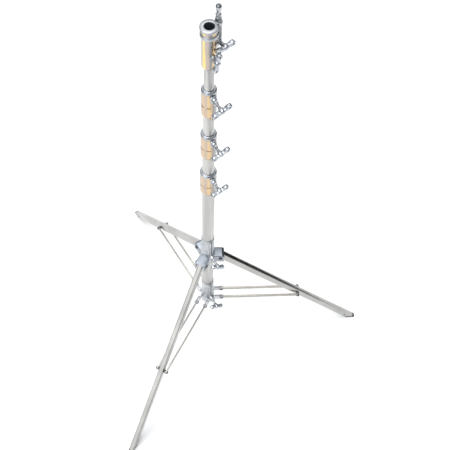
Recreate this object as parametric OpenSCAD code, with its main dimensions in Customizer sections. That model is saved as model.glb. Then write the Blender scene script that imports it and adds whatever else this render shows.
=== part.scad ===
// Combination lighting stand: four telescoping steel tubes on a folding tripod base, with a socket
// head for a 28 mm spigot and a hinged 16 mm stud beside it. Millimetres, +Z up. The origin is the
// point on the floor under the mast's axis. Leg 1 points along +X, and the risers are all the way in.

/* [Mast] */
// Height of the socket's top face above the floor
socket_top = 1875; // [1870:1:1890]
// Outer diameter of the base tube; each riser is one tube step smaller
base_od = 45; // [45:1:46]
// Difference in outer diameter between one tube and the next
tube_step = 5; // [5:0.1:5.4]
// Wall of every mast tube
tube_wall = 2; // [1.8:0.1:2]
// Height of the base tube's lower end above the floor
base_bottom = 244; // [240:1:250]
// Height of the top of the base tube's clamp collar
base_collar_top = 1216; // [1200:1:1230]
// Rise from one clamp collar's top to the next
collar_rise = 208; // [200:1:212]
// Height of a clamp collar
collar_h = 120; // [110:1:126]

/* [Legs] */
// Distance of each leg's hinge bolt from the mast's axis
hinge_r = 50; // [48:1:52]
// Height of the hinge bolts
hinge_z = 632; // [620:1:645]
// Distance of each foot's centre from the mast's axis
foot_r = 660; // [640:1:680]
// Width of a leg tube
leg_w = 20; // [18:1:22]
// Depth of a leg tube
leg_h = 30; // [28:1:30]
// Wall of a leg tube
leg_wall = 2; // [1.5:0.1:2.5]
// Distance from the hinge bolt to the brace bolt, along the leg
brace_at = 488; // [480:1:500]

/* [Braces] */
// Distance of each brace's inner bolt from the mast's axis
brace_r = 60; // [58:1:62]
// Distance of each brace bar's middle plane from the leg's middle plane
brace_offset = 20; // [20:0.5:21]
// Depth of a brace bar
brace_h = 15; // [12:1:16]
// Thickness of a brace bar
brace_t = 5; // [4:0.5:5]

/* [Sockets] */
// Diameter of the spigot socket's bore
socket_bore = 28.8; // [28.7:0.1:29]
// Depth of the spigot socket
socket_depth = 107; // [100:1:110]
// Diameter of the stud beside the socket
stud_d = 15.88; // [15.8:0.01:16]

/* [Handles] */
// Length of a tee handle's bar
tee_len = 66; // [60:1:70]
// Diameter of the clamp screws
screw_d = 10; // [10:1:11]
// Compass direction of the screws on the mast's collars and the socket, from leg 1
screw_az = -62; // [-66:1:-58]
// Compass direction of the screws on the two base collars, between two legs
base_screw_az = -64; // [-66:1:-60]

/* [Hidden] */
$fn = 64;

gap = 0.3;            // air between pieces that slide past each other
thread_gap = 0.05;    // air round a screw in its hole
tiny = 0.01;          // extra length that lets a cut pass through a face

// Colours
steel = "Silver";
plated = "Gainsboro";
amber = "BurlyWood";
dark_steel = "SlateGray";
rubber = "DimGray";
nylon = "WhiteSmoke";

// Mast tubes, counted from 0 at the base tube
function tube_r(n) = (base_od - n * tube_step) / 2;
function bore_r(n) = tube_r(n) - tube_wall;
function collar_top(n) = base_collar_top + n * collar_rise;
collar_lip = 5;                                   // lip over the guide bush
bush_h = 12;                                      // height of the guide bush
function tube_top(n) = collar_top(n) - collar_lip - bush_h;
plug_h = 18;                                      // part of a plug that stands inside its tube
flange_h = 7.6;                                   // part of a riser's plug below its tube
plug_step = plug_h + flange_h + 0.4;              // rise from one riser's lower end to the next
base_flange = 4;                                  // flange under the base tube
function riser_bottom(n) = base_bottom + n * plug_step;
head_bottom = socket_top - 150;
head_r = 22.5;
head_shoulder = socket_top - socket_depth;        // where riser 3 stops inside the head

// Clamp screws on the mast's collars
collar_wall = 5.5;
screw_drop = 26;                                  // screw axis below the collar's top
boss_r = 9.5;
boss_reach = 13;                                  // boss beyond the collar's barrel
hex_r = 8.5;
hex_len = 9;
pad_t = 3;
tee_reach = 75;                                   // tee bar from the mast's axis

// Base collars: two split sleeves of one pattern
sleeve_r = 27;                                    // lower part, which carries the brackets or lugs
sleeve_low_h = 46;
neck_r = 24.8;                                    // thin upper part
sleeve_h = 165;
sleeve_screw_z = 57;                              // screw above the sleeve's lower end
sleeve_drop = 26;                                 // sleeve below the leg hinge bolts
brace_sleeve_drop = 38;                           // sleeve below the brace bolts
base_tee_reach = 82;
rib_w = 13;
rib_reach = 32;
rib_low = 54;                                     // rib starts above the brackets and the lugs

// Leg geometry
leg_slope = atan2(hinge_z, foot_r - hinge_r);
leg_len = sqrt(hinge_z * hinge_z + (foot_r - hinge_r) * (foot_r - hinge_r));
brace_out_r = hinge_r + brace_at * cos(leg_slope);
brace_z = hinge_z - brace_at * sin(leg_slope);    // the braces lie level when the legs are open
brace_len = brace_out_r - brace_r;
leg_azimuths = [0, 120, 240];
foot_h = 10;                                      // rubber under the cut end of the leg
foot_plug = 26;                                   // rubber inside the leg
foot_hole_at = leg_len - 44;
foot_hole_r = 4.5;
bracket_half = 21.5;
bracket_t = 3.5;
bracket_reach = 64;
hinge_bolt_r = 5;
brace_bolt_r = 4;
lug_plate = 3;
lug_half = 9;                                     // half the height of a lug

// Tee handle
hub_r = 9;
tee_t = 12;
tee_end_r = 8.5;

// Stud arm, in the plane through the mast's axis at stud_az
stud_az = 39;
stud_r = 31;
arm_pivot_z = socket_top - 75;
arm_t = 12;
arm_eye_r = 8;
arm_boss_r = 11.5;
arm_boss_h = 15;
arm_cheek_t = 4;
arm_tee_reach = 30;

// ---- Helpers ----

// Turns a shape modelled along +X to a compass direction
module at_azimuth(az) {
    rotate([0, 0, az]) children();
}

// Cylinder along +X from x0 to x1
module bar_x(r, x0, x1, sides = 64) {
    translate([x0, 0, 0]) rotate([0, 90, 0]) cylinder(r = r, h = x1 - x0, $fn = sides);
}

// Cylinder along Y, centred on the XZ plane
module bar_y(r, len) {
    rotate([90, 0, 0]) cylinder(r = r, h = len, center = true);
}

// Cylinder along Y from y0 to y1
module bar_y_from(r, y0, y1) {
    translate([0, y1, 0]) rotate([90, 0, 0]) cylinder(r = r, h = y1 - y0);
}

// Puts a shape on both sides of the XZ plane
module both_sides() {
    children();
    mirror([0, 1, 0]) children();
}

// Ring about Z
module ring(r_out, r_in, z0, z1) {
    translate([0, 0, z0]) difference() {
        cylinder(r = r_out, h = z1 - z0);
        translate([0, 0, -tiny]) cylinder(r = r_in, h = z1 - z0 + 2 * tiny);
    }
}

// ---- Clamp screw, modelled along +X at the screw's own height ----

// Steel screw from its tip to the handle's hub
module clamp_screw(tip, reach) {
    shoulder = 5.5;
    color(steel) union() {
        bar_x(screw_d / 2, tip, reach - hub_r);
        bar_x(screw_d / 2 + 1.5, reach - hub_r - shoulder, reach - hub_r);
    }
}

// Cast tee handle: a dog-bone bar with a slot in each end, turned by tilt about the screw
module tee_handle(reach, tilt) {
    end_at = tee_len / 2 - tee_end_r;
    waist = 10;
    slot_w = 4;
    slot_len = 8;
    hub_back = 9;
    color(plated) rotate([tilt, 0, 0]) union() {
        bar_x(hub_r, reach - hub_back, reach + tee_t / 2 + 2);
        translate([reach - tee_t / 2, 0, 0]) rotate([0, 90, 0]) linear_extrude(tee_t) difference() {
            union() {
                circle(r = hub_r);
                square([waist, 2 * end_at], center = true);
                for (side = [-1, 1]) translate([0, side * end_at]) circle(r = tee_end_r);
            }
            for (side = [-1, 1]) translate([0, side * end_at]) square([slot_w, slot_len], center = true);
        }
    }
}

// Pressure pad between the screw's tip and the tube
module clamp_pad(tube_radius) {
    color("Peru") difference() {
        bar_x(screw_d / 2 - 0.2, tube_radius, tube_radius + gap + pad_t);
        cylinder(r = tube_radius + gap, h = 2 * screw_d, center = true);
    }
}

// ---- Mast tubes ----

module base_tube() {
    color(steel) ring(tube_r(0), bore_r(0), base_bottom, tube_top(0));
}

module base_tube_plug() {
    color(rubber) union() {
        translate([0, 0, base_bottom - base_flange]) cylinder(r = tube_r(0), h = base_flange);
        translate([0, 0, base_bottom]) cylinder(r = bore_r(0), h = plug_h);
    }
}

module riser_tube(n) {
    top = n == 3 ? head_shoulder : tube_top(n);
    color(steel) ring(tube_r(n), bore_r(n), riser_bottom(n), top);
}

// Plug that guides a riser's lower end inside the next tube and stops the riser above it
module riser_plug(n) {
    color(nylon) union() {
        translate([0, 0, riser_bottom(n) - flange_h]) cylinder(r = bore_r(n - 1) - gap, h = flange_h);
        translate([0, 0, riser_bottom(n)]) cylinder(r = bore_r(n), h = plug_h);
    }
}

// ---- Clamp collar on top of tube n, which holds the riser inside it ----

// Barrel with a chamfered rim, two bands with a groove between them and a tapered foot
module collar_barrel(n) {
    r = tube_r(n) + collar_wall;
    top = collar_top(n);
    bottom = top - collar_h;
    middle = (top - 12 + bottom) / 2;
    lip_r = tube_r(n + 1) + 0.8;
    rotate_extrude($fn = 96) polygon([
        [lip_r, top], [tube_r(n) + 1.5, top], [r - 0.5, top - 3.5], [r + 0.5, top - 7],
        [r + 0.5, top - 10], [r - 1, top - 12], [r, top - 15],
        [r, middle + 3], [r - 1, middle + 1], [r - 1, middle - 1], [r + 0.5, middle - 3],
        [r + 0.5, bottom + 18], [r - 0.5, bottom + 10], [tube_r(n) + 3, bottom + 3],
        [tube_r(n) + 1.5, bottom], [tube_r(n), bottom], [tube_r(n), top - collar_lip],
        [lip_r, top - collar_lip]
    ]);
}

// Rib down the barrel, and the screw's boss at the top of the rib
module collar_lug(n) {
    r = tube_r(n) + collar_wall;
    bottom = collar_top(n) - collar_h;
    lug_w = 12;
    lug_out = 3.5;
    boss_end = r + boss_reach;
    z_screw = collar_top(n) - screw_drop;
    translate([tube_r(n) + 1, -lug_w / 2, bottom - 3])
        cube([collar_wall + lug_out - 1, lug_w, z_screw - bottom + 3]);
    translate([0, 0, z_screw]) {
        bar_x(boss_r, tube_r(n) + 1, boss_end);
        translate([tube_r(n) + 1, -boss_r, 0]) cube([boss_end - 6 - tube_r(n) - 1, 2 * boss_r, boss_r]);
        bar_x(hex_r, boss_end - tiny, boss_end + hex_len, 6);
    }
}

module clamp_collar(n) {
    color(amber) difference() {
        union() {
            collar_barrel(n);
            at_azimuth(screw_az) collar_lug(n);
        }
        at_azimuth(screw_az) translate([0, 0, collar_top(n) - screw_drop])
            bar_x(screw_d / 2 + thread_gap, 0, tube_r(n) + 40);
    }
}

// The tube's wall is drilled for the clamp screw
module drilled_tube(n) {
    difference() {
        if (n == 0) base_tube(); else riser_tube(n);
        at_azimuth(screw_az) translate([0, 0, collar_top(n) - screw_drop])
            bar_x(screw_d / 2 + thread_gap, 0, tube_r(n) + 1);
    }
}

module clamp_bush(n) {
    color(nylon) ring(tube_r(n), tube_r(n + 1) + gap, tube_top(n), tube_top(n) + bush_h);
}

// Places a piece of tube n's clamp screw
module at_clamp(n) {
    translate([0, 0, collar_top(n) - screw_drop]) at_azimuth(screw_az) children();
}

clamp_tilts = [16, 20, 20];

module mast_clamp_pad(n) {
    at_clamp(n) clamp_pad(tube_r(n + 1));
}

module mast_clamp_screw(n) {
    at_clamp(n) clamp_screw(tube_r(n + 1) + gap + pad_t, tee_reach);
}

module mast_clamp_handle(n) {
    at_clamp(n) tee_handle(tee_reach, clamp_tilts[n]);
}

// ---- Socket head on riser 3 ----

module socket_barrel() {
    bore = socket_bore / 2;
    flange_r = 27;
    ring_r = 25;
    rotate_extrude($fn = 96) polygon([
        [bore + 1, socket_top], [flange_r - 1.5, socket_top], [flange_r, socket_top - 1.5],
        [flange_r, socket_top - 12], [flange_r - 2.5, socket_top - 14.5],
        [head_r, socket_top - 17], [head_r, socket_top - 20], [ring_r, socket_top - 22],
        [ring_r, socket_top - 35], [head_r, socket_top - 38],
        [head_r, head_bottom + 8], [head_r - 3, head_bottom], [tube_r(3), head_bottom],
        [tube_r(3), head_shoulder], [bore, head_shoulder], [bore, socket_top - 1]
    ]);
}

socket_screw_z = socket_top - 100;
socket_tee_reach = 44;
socket_boss_end = head_r + 3;
socket_hex_len = 3.8;                             // ends just short of the screw's shoulder

// Two ears that carry the stud arm's pivot
module arm_ears() {
    both_sides() translate([0, arm_t / 2 + gap, 0]) hull() {
        translate([stud_r, 0, arm_pivot_z]) bar_y_from(arm_eye_r, 0, arm_cheek_t);
        translate([head_r - 6, 0, arm_pivot_z - arm_eye_r]) cube([2, arm_cheek_t, 2 * arm_eye_r]);
    }
}

module socket_head() {
    color(plated) difference() {
        union() {
            socket_barrel();
            at_azimuth(screw_az) translate([0, 0, socket_screw_z]) {
                bar_x(boss_r, tube_r(3) + 2, socket_boss_end);
                bar_x(hex_r, socket_boss_end - tiny, socket_boss_end + socket_hex_len, 6);
            }
            at_azimuth(stud_az) arm_ears();
        }
        translate([0, 0, head_shoulder]) cylinder(r = socket_bore / 2, h = socket_depth + 1);
        translate([0, 0, head_bottom - 1]) cylinder(r = tube_r(3), h = head_shoulder - head_bottom + 1);
        at_azimuth(screw_az) translate([0, 0, socket_screw_z])
            bar_x(screw_d / 2 + thread_gap, 0, socket_tee_reach);
        // room for the stud arm beside the flange
        at_azimuth(stud_az) translate([stud_r, 0, socket_top - arm_boss_h - 3])
            cylinder(r = arm_boss_r + 0.5, h = arm_boss_h + 4);
        at_azimuth(stud_az) translate([stud_r, 0, arm_pivot_z])
            bar_y(screw_d / 2 + thread_gap, 60);
    }
}

module at_socket_screw() {
    translate([0, 0, socket_screw_z]) at_azimuth(screw_az) children();
}

module socket_screw() {
    at_socket_screw() clamp_screw(socket_bore / 2 + gap, socket_tee_reach);
}

module socket_handle() {
    at_socket_screw() tee_handle(socket_tee_reach, 78);
}

// ---- Stud arm: an eye on the pivot screw, a web on the outside and a boss for the stud ----

module stud_arm() {
    web_in = 6;
    web_out = arm_eye_r;
    color(plated) at_azimuth(stud_az) translate([stud_r, 0, 0]) difference() {
        union() {
            translate([0, 0, arm_pivot_z]) bar_y(arm_eye_r, arm_t);
            translate([web_in - 2, -arm_t / 2, arm_pivot_z])
                cube([web_out - web_in + 2, arm_t, socket_top - arm_boss_h - arm_pivot_z + 2]);
            translate([0, 0, socket_top - arm_boss_h]) cylinder(r = arm_boss_r, h = arm_boss_h);
        }
        translate([0, 0, arm_pivot_z]) bar_y(screw_d / 2 + thread_gap, arm_t + 1);
        translate([0, 0, socket_top - arm_boss_h + 3]) cylinder(r = 6, h = arm_boss_h);
    }
}

// Turned stud with a waist, on a short spigot in the arm's boss
module stud() {
    r = stud_d / 2;
    waist_r = 5.8;
    base = socket_top;
    top = base + 55;
    color(dark_steel) at_azimuth(stud_az) translate([stud_r, 0, 0]) rotate_extrude() polygon([
        [0, base - arm_boss_h + 3], [6, base - arm_boss_h + 3], [6, base], [r + 1, base],
        [r + 1, base + 13], [r, base + 14], [r, base + 25], [waist_r, base + 27],
        [waist_r, base + 35], [r, base + 37], [r, top - 2.5], [r - 2.5, top], [0, top]
    ]);
}

// The pivot screw's tee handle points the way the other handles do, along the pivot's axis
module at_arm_pivot() {
    at_azimuth(stud_az) translate([stud_r, 0, arm_pivot_z]) rotate([0, 0, -90]) children();
}

module stud_arm_screw() {
    back = arm_t / 2 + gap + arm_cheek_t;
    color(steel) at_arm_pivot() union() {
        bar_x(screw_d / 2, -back - 6, arm_tee_reach - hub_r);
        bar_x(hex_r - 0.5, -back - 6, -back - gap, 6);
    }
}

module stud_arm_handle() {
    at_arm_pivot() tee_handle(arm_tee_reach, 0);
}

// ---- Base collars ----

// Split sleeve with a rib down the split and a boss for its screw, standing on z = 0
module sleeve_casting() {
    boss_end = rib_reach + 12;
    saw = 3;
    saw_gap = 4;         // metal left between the saw cuts and the boss
    difference() {
        union() {
            rotate_extrude($fn = 96) polygon([
                [0, 0], [sleeve_r - 1, 0], [sleeve_r, 1], [sleeve_r, sleeve_low_h],
                [neck_r, sleeve_low_h + 1.2], [neck_r, sleeve_h - 1], [neck_r - 0.8, sleeve_h],
                [0, sleeve_h]
            ]);
            at_azimuth(base_screw_az) {
                translate([0, -rib_w / 2, rib_low]) cube([rib_reach, rib_w, sleeve_h - rib_low - 3]);
                translate([0, 0, sleeve_screw_z]) {
                    bar_x(boss_r, 0, boss_end);
                    bar_x(hex_r, boss_end - tiny, boss_end + hex_len, 6);
                }
            }
        }
        translate([0, 0, -1]) cylinder(r = tube_r(0) + gap, h = sleeve_h + 2);
        at_azimuth(base_screw_az) translate([0, 0, sleeve_screw_z])
            bar_x(screw_d / 2 + thread_gap, 0, base_tee_reach);
        // the saw cuts below and above the screw's boss
        at_azimuth(base_screw_az) translate([tube_r(0) - 1, -saw / 2, -1])
            cube([rib_reach, saw, sleeve_screw_z - boss_r - saw_gap + 1]);
        at_azimuth(base_screw_az) translate([tube_r(0) - 1, -saw / 2, sleeve_screw_z + boss_r + saw_gap])
            cube([rib_reach, saw, sleeve_h]);
    }
}

module leg_collar() {
    color(plated) translate([0, 0, hinge_z - sleeve_drop]) sleeve_casting();
}

// Folded channel that holds the top of one leg, pointing along +X
module leg_bracket() {
    top = 19;            // top face above the bolt
    low = -24;           // lower edge below the bolt
    lip_drop = 6.5;
    flat_end = bracket_reach - 9;
    difference() {
        union() {
            both_sides() translate([0, bracket_half - bracket_t, low])
                cube([bracket_reach, bracket_t, top - low - lip_drop]);
            both_sides() translate([0, bracket_half - bracket_t, low])
                cube([flat_end, bracket_t, top - low]);
            translate([0, -bracket_half, top - bracket_t]) cube([flat_end, 2 * bracket_half, bracket_t]);
            translate([0, bracket_half, 0]) rotate([90, 0, 0]) linear_extrude(2 * bracket_half) polygon([
                [flat_end - tiny, top], [bracket_reach, top - lip_drop],
                [bracket_reach, top - lip_drop - bracket_t], [flat_end - tiny, top - bracket_t]
            ]);
        }
        translate([0, 0, low - 1]) cylinder(r = sleeve_r, h = top - low + 2);
        translate([hinge_r, 0, 0]) bar_y(hinge_bolt_r, 2 * bracket_half + 2);
    }
}

module leg_brackets() {
    color("LightSteelBlue") for (az = leg_azimuths) at_azimuth(az) translate([0, 0, hinge_z]) leg_bracket();
}

// Bolt, head, nut and two spacer tubes of each leg hinge
module leg_hinge_bolts() {
    head = 4.5;
    color(dark_steel) for (az = leg_azimuths) at_azimuth(az) translate([hinge_r, 0, hinge_z]) union() {
        bar_y(hinge_bolt_r, 2 * bracket_half + 2 * head);
        both_sides() bar_y_from(8, leg_w / 2 + gap, bracket_half - bracket_t);
        both_sides() bar_y_from(8, bracket_half, bracket_half + head);
    }
}

module at_leg_collar_screw() {
    translate([0, 0, hinge_z - sleeve_drop + sleeve_screw_z]) at_azimuth(base_screw_az) children();
}

module leg_collar_pad() {
    at_leg_collar_screw() clamp_pad(tube_r(0));
}

module leg_collar_screw() {
    at_leg_collar_screw() clamp_screw(tube_r(0) + gap + pad_t, base_tee_reach);
}

module leg_collar_handle() {
    at_leg_collar_screw() tee_handle(base_tee_reach, -38);
}

// ---- Brace collar ----

// Fork for one brace bar, pointing along +X, at the brace bolts' height
module brace_fork() {
    inner = brace_t / 2 + gap;
    outer = inner + lug_plate;
    root = sleeve_r + 7;
    difference() {
        union() {
            translate([sleeve_r - 8, brace_offset - outer, -lug_half])
                cube([root - sleeve_r + 8, 2 * outer, 2 * lug_half]);
            for (y0 = [brace_offset - outer, brace_offset + inner]) translate([0, y0, 0]) {
                translate([root - tiny, 0, -lug_half]) cube([brace_r - root, lug_plate, 2 * lug_half]);
                translate([brace_r, 0, 0]) bar_y_from(lug_half, 0, lug_plate);
            }
        }
        translate([brace_r, brace_offset, 0]) bar_y(brace_bolt_r, 2 * outer + 1);
        cylinder(r = sleeve_r, h = 3 * lug_half, center = true);
    }
}

module brace_collar() {
    color(plated) translate([0, 0, brace_z - brace_sleeve_drop]) sleeve_casting();
}

module brace_lugs() {
    color(plated) translate([0, 0, brace_z]) for (az = leg_azimuths) at_azimuth(az) both_sides()
        brace_fork();
}

module brace_collar_bolts() {
    inner = brace_t / 2 + gap + lug_plate;
    head = 3;
    color(dark_steel) translate([0, 0, brace_z]) for (az = leg_azimuths) at_azimuth(az) both_sides()
        translate([brace_r, brace_offset, 0]) union() {
            bar_y(brace_bolt_r, 2 * inner + 2 * head);
            both_sides() bar_y_from(6.5, inner, inner + head);
        }
}

module at_brace_collar_screw() {
    translate([0, 0, brace_z - brace_sleeve_drop + sleeve_screw_z]) at_azimuth(base_screw_az)
        children();
}

module brace_collar_pad() {
    at_brace_collar_screw() clamp_pad(tube_r(0));
}

module brace_collar_screw() {
    at_brace_collar_screw() clamp_screw(tube_r(0) + gap + pad_t, base_tee_reach);
}

module brace_collar_handle() {
    at_brace_collar_screw() tee_handle(base_tee_reach, -34);
}

// ---- Legs ----

// Places a shape modelled along +X, from the hinge bolt outwards, on leg n
module on_leg(n) {
    at_azimuth(leg_azimuths[n - 1]) translate([hinge_r, 0, hinge_z]) rotate([0, leg_slope, 0]) children();
}

// Slab between two heights, wide enough for the whole tripod
module slab(z0, z1) {
    translate([-2 * foot_r, -2 * foot_r, z0]) cube([4 * foot_r, 4 * foot_r, z1 - z0]);
}

module leg_tube(n) {
    over = 60;
    color(steel) intersection() {
        on_leg(n) difference() {
            union() {
                translate([0, -leg_w / 2, -leg_h / 2]) cube([leg_len + over, leg_w, leg_h]);
                bar_y(leg_h / 2, leg_w);
            }
            translate([leg_h / 2, -leg_w / 2 + leg_wall, -leg_h / 2 + leg_wall])
                cube([leg_len + over, leg_w - 2 * leg_wall, leg_h - 2 * leg_wall]);
            bar_y(hinge_bolt_r + thread_gap, leg_w + 1);
            translate([brace_at, 0, 0]) bar_y(brace_bolt_r, leg_w + 1);
            translate([foot_hole_at, 0, 0]) bar_y(foot_hole_r, leg_w + 1);
        }
        slab(foot_h, 2 * hinge_z);
    }
}

// Rubber foot: a sole the size of the leg's cut end, and a plug inside the tube
module leg_foot(n) {
    over = 60;
    color(rubber) union() {
        intersection() {
            on_leg(n) translate([0, -leg_w / 2, -leg_h / 2]) cube([leg_len + over, leg_w, leg_h]);
            slab(0, foot_h);
        }
        intersection() {
            on_leg(n) translate([0, -leg_w / 2 + leg_wall, -leg_h / 2 + leg_wall])
                cube([leg_len + over, leg_w - 2 * leg_wall, leg_h - 2 * leg_wall]);
            slab(foot_h - tiny, foot_plug);
        }
    }
}

// Bolt through the leg with a spacer on each side, up to the brace bars
module leg_brace_spacer(n) {
    reach = brace_offset - brace_t / 2 - gap;
    color(dark_steel) on_leg(n) translate([brace_at, 0, 0]) union() {
        bar_y(brace_bolt_r, 2 * reach);
        both_sides() bar_y_from(6.5, leg_w / 2, reach);
    }
}

// ---- Braces ----

module at_brace(n) {
    translate([0, 0, brace_z]) at_azimuth(leg_azimuths[n - 1]) both_sides()
        translate([brace_r, brace_offset, 0]) children();
}

// Two flat bars with round ends, one on each side of the leg
module brace_bars(n) {
    color(steel) at_brace(n) difference() {
        union() {
            translate([0, -brace_t / 2, -brace_h / 2]) cube([brace_len, brace_t, brace_h]);
            for (x = [0, brace_len]) translate([x, 0, 0]) bar_y(brace_h / 2, brace_t);
        }
        bar_y(brace_bolt_r + thread_gap, brace_t + 1);
        translate([brace_len, 0, 0]) bar_y(brace_bolt_r, brace_t + 1);
    }
}

// Outer ends of the brace bolt: a shank in each bar's eye, with a head or nut outside
module brace_bolts(n) {
    head = 5;
    color(dark_steel) at_brace(n) translate([brace_len, 0, 0]) union() {
        bar_y(brace_bolt_r, brace_t);
        bar_y_from(6.5, brace_t / 2, brace_t / 2 + head);
    }
}

// ---- Nodes ----

leg_collar();
leg_brackets();
leg_hinge_bolts();
leg_collar_pad();
leg_collar_screw();
leg_collar_handle();
leg_tube(1);  // leg_1_tube
leg_foot(1);  // leg_1_foot
leg_brace_spacer(1);  // leg_1_brace_spacer
leg_tube(2);  // leg_2_tube
leg_foot(2);  // leg_2_foot
leg_brace_spacer(2);  // leg_2_brace_spacer
leg_tube(3);  // leg_3_tube
leg_foot(3);  // leg_3_foot
leg_brace_spacer(3);  // leg_3_brace_spacer
brace_collar();
brace_lugs();
brace_collar_bolts();
brace_collar_pad();
brace_collar_screw();
brace_collar_handle();
brace_bars(1);  // brace_1_bars
brace_bolts(1);  // brace_1_bolts
brace_bars(2);  // brace_2_bars
brace_bolts(2);  // brace_2_bolts
brace_bars(3);  // brace_3_bars
brace_bolts(3);  // brace_3_bolts
drilled_tube(0);  // base_tube
base_tube_plug();
clamp_collar(0);  // base_clamp_collar
clamp_bush(0);  // base_clamp_bush
mast_clamp_pad(0);  // base_clamp_pad
mast_clamp_screw(0);  // base_clamp_screw
mast_clamp_handle(0);  // base_clamp_handle
drilled_tube(1);  // riser_1_tube
riser_plug(1);  // riser_1_plug
clamp_collar(1);  // riser_1_clamp_collar
clamp_bush(1);  // riser_1_clamp_bush
mast_clamp_pad(1);  // riser_1_clamp_pad
mast_clamp_screw(1);  // riser_1_clamp_screw
mast_clamp_handle(1);  // riser_1_clamp_handle
drilled_tube(2);  // riser_2_tube
riser_plug(2);  // riser_2_plug
clamp_collar(2);  // riser_2_clamp_collar
clamp_bush(2);  // riser_2_clamp_bush
mast_clamp_pad(2);  // riser_2_clamp_pad
mast_clamp_screw(2);  // riser_2_clamp_screw
mast_clamp_handle(2);  // riser_2_clamp_handle
riser_tube(3);  // riser_3_tube
riser_plug(3);  // riser_3_plug
socket_head();
socket_screw();
socket_handle();
stud_arm();
stud();
stud_arm_screw();
stud_arm_handle();
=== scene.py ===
# %% [markdown]
# # Lighting stand: the visual
# A telescoping steel mast stands in a folding tripod base. Tee screws clamp the risers and the two
# base collars. The head takes a 28 mm spigot, and a waisted 16 mm stud stands on an arm beside it.
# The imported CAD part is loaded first. Its nodes stay where they are and carry the joints. The cells
# below model each piece in full, give it its finish and set up the stage.

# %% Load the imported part
import math

import bmesh
import bpy
from mathutils import Matrix, Vector


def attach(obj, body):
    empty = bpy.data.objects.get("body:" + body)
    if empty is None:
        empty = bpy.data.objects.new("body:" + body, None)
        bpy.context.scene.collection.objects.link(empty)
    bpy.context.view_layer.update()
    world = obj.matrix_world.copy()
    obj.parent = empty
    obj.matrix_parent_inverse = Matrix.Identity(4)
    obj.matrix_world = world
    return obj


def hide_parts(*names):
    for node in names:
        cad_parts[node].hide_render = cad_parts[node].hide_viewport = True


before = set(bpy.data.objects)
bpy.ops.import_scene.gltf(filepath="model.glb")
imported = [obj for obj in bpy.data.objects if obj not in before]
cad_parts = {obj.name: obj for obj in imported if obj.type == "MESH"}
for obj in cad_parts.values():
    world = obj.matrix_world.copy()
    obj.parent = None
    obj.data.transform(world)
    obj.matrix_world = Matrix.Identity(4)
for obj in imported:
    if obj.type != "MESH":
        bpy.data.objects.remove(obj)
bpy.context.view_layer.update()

# %% [markdown]
# ## Driving dimensions
# Everything is in metres, in the CAD part's frame: +Z up, leg 1 along +X, origin on the floor under
# the mast. A number typed in millimetres is multiplied by `mm`. Each riser is one 5 mm step thinner
# than the tube it slides in.

# %% Driving dimensions
mm = 0.001
socket_top = 1875 * mm
collar_rise = 208 * mm
base_collar_top = 1216 * mm
collar_h = 120 * mm
base_bottom = 244 * mm
tube_wall = 2 * mm
screw_drop = 26 * mm
screw_heading = -62  # compass degrees from leg 1
base_screw_heading = -64
hinge_r = 50 * mm
hinge_z = 632 * mm
foot_r = 660 * mm
foot_h = 10 * mm
leg_w = 20 * mm
leg_h = 30 * mm
brace_at = 488 * mm
brace_r = 60 * mm
brace_offset = 20 * mm
leg_headings = (0, 120, 240)
stud_heading = 39
stud_r = 31 * mm
arm_pivot_z = socket_top - 75 * mm

leg_slope = math.atan2(hinge_z, foot_r - hinge_r)
leg_len = math.hypot(hinge_z, foot_r - hinge_r)
brace_z = hinge_z - brace_at * math.sin(leg_slope)
brace_len = hinge_r + brace_at * math.cos(leg_slope) - brace_r


def tube_r(n):
    """Outer radius of mast tube n, counted from 0 at the base."""
    return (22.5 - 2.5 * n) * mm


def collar_top(n):
    """Height of the top of tube n's clamp collar."""
    return base_collar_top + n * collar_rise


print("leg length", round(leg_len, 4), "brace length", round(brace_len, 4))
print("leg slope in degrees", round(math.degrees(leg_slope), 2))

# %% [markdown]
# ## Procedural finishes
# Every finish is built from noise in object coordinates, so it stays with its piece when a joint
# moves. The stand is plated steel: the plating varies a little in colour, the drawing marks run
# along the tubes, and handling leaves small scratches and duller patches.
#
# One function makes all the metals. It takes two colours that a broad noise mixes, a roughness
# range that a fine noise drives, and the stretch of the grain along each axis.


# %% Finish builders
def new_material(name):
    material = bpy.data.materials.new(name)
    material.use_nodes = True
    tree = material.node_tree
    return material, tree, tree.nodes["Principled BSDF"]


def noise(tree, scale, detail=4.0, roughness=0.55, stretch=(1, 1, 1)):
    """Noise texture in object coordinates, stretched along the axes."""
    coords = tree.nodes.new("ShaderNodeTexCoord")
    mapping = tree.nodes.new("ShaderNodeMapping")
    mapping.inputs["Scale"].default_value = stretch
    texture = tree.nodes.new("ShaderNodeTexNoise")
    texture.inputs["Scale"].default_value = scale
    texture.inputs["Detail"].default_value = detail
    texture.inputs["Roughness"].default_value = roughness
    tree.links.new(coords.outputs["Object"], mapping.inputs["Vector"])
    tree.links.new(mapping.outputs["Vector"], texture.inputs["Vector"])
    return texture


def ramp(tree, source, stops):
    """Colour ramp with (position, colour) stops."""
    node = tree.nodes.new("ShaderNodeValToRGB")
    elements = node.color_ramp.elements
    elements[0].position, elements[0].color = stops[0][0], (*stops[0][1], 1)
    elements[1].position, elements[1].color = stops[-1][0], (*stops[-1][1], 1)
    for position, colour in stops[1:-1]:
        element = elements.new(position)
        element.color = (*colour, 1)
    tree.links.new(source, node.inputs["Fac"])
    return node


def spread(tree, source, low, high):
    """Maps the middle of a noise onto a range of values."""
    node = tree.nodes.new("ShaderNodeMapRange")
    node.inputs["From Min"].default_value = 0.3
    node.inputs["From Max"].default_value = 0.7
    node.inputs["To Min"].default_value = low
    node.inputs["To Max"].default_value = high
    tree.links.new(source, node.inputs["Value"])
    return node


def bump(tree, shader, source, strength, distance):
    node = tree.nodes.new("ShaderNodeBump")
    node.inputs["Strength"].default_value = strength
    node.inputs["Distance"].default_value = distance
    tree.links.new(source, node.inputs["Height"])
    tree.links.new(node.outputs["Normal"], shader.inputs["Normal"])


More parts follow.
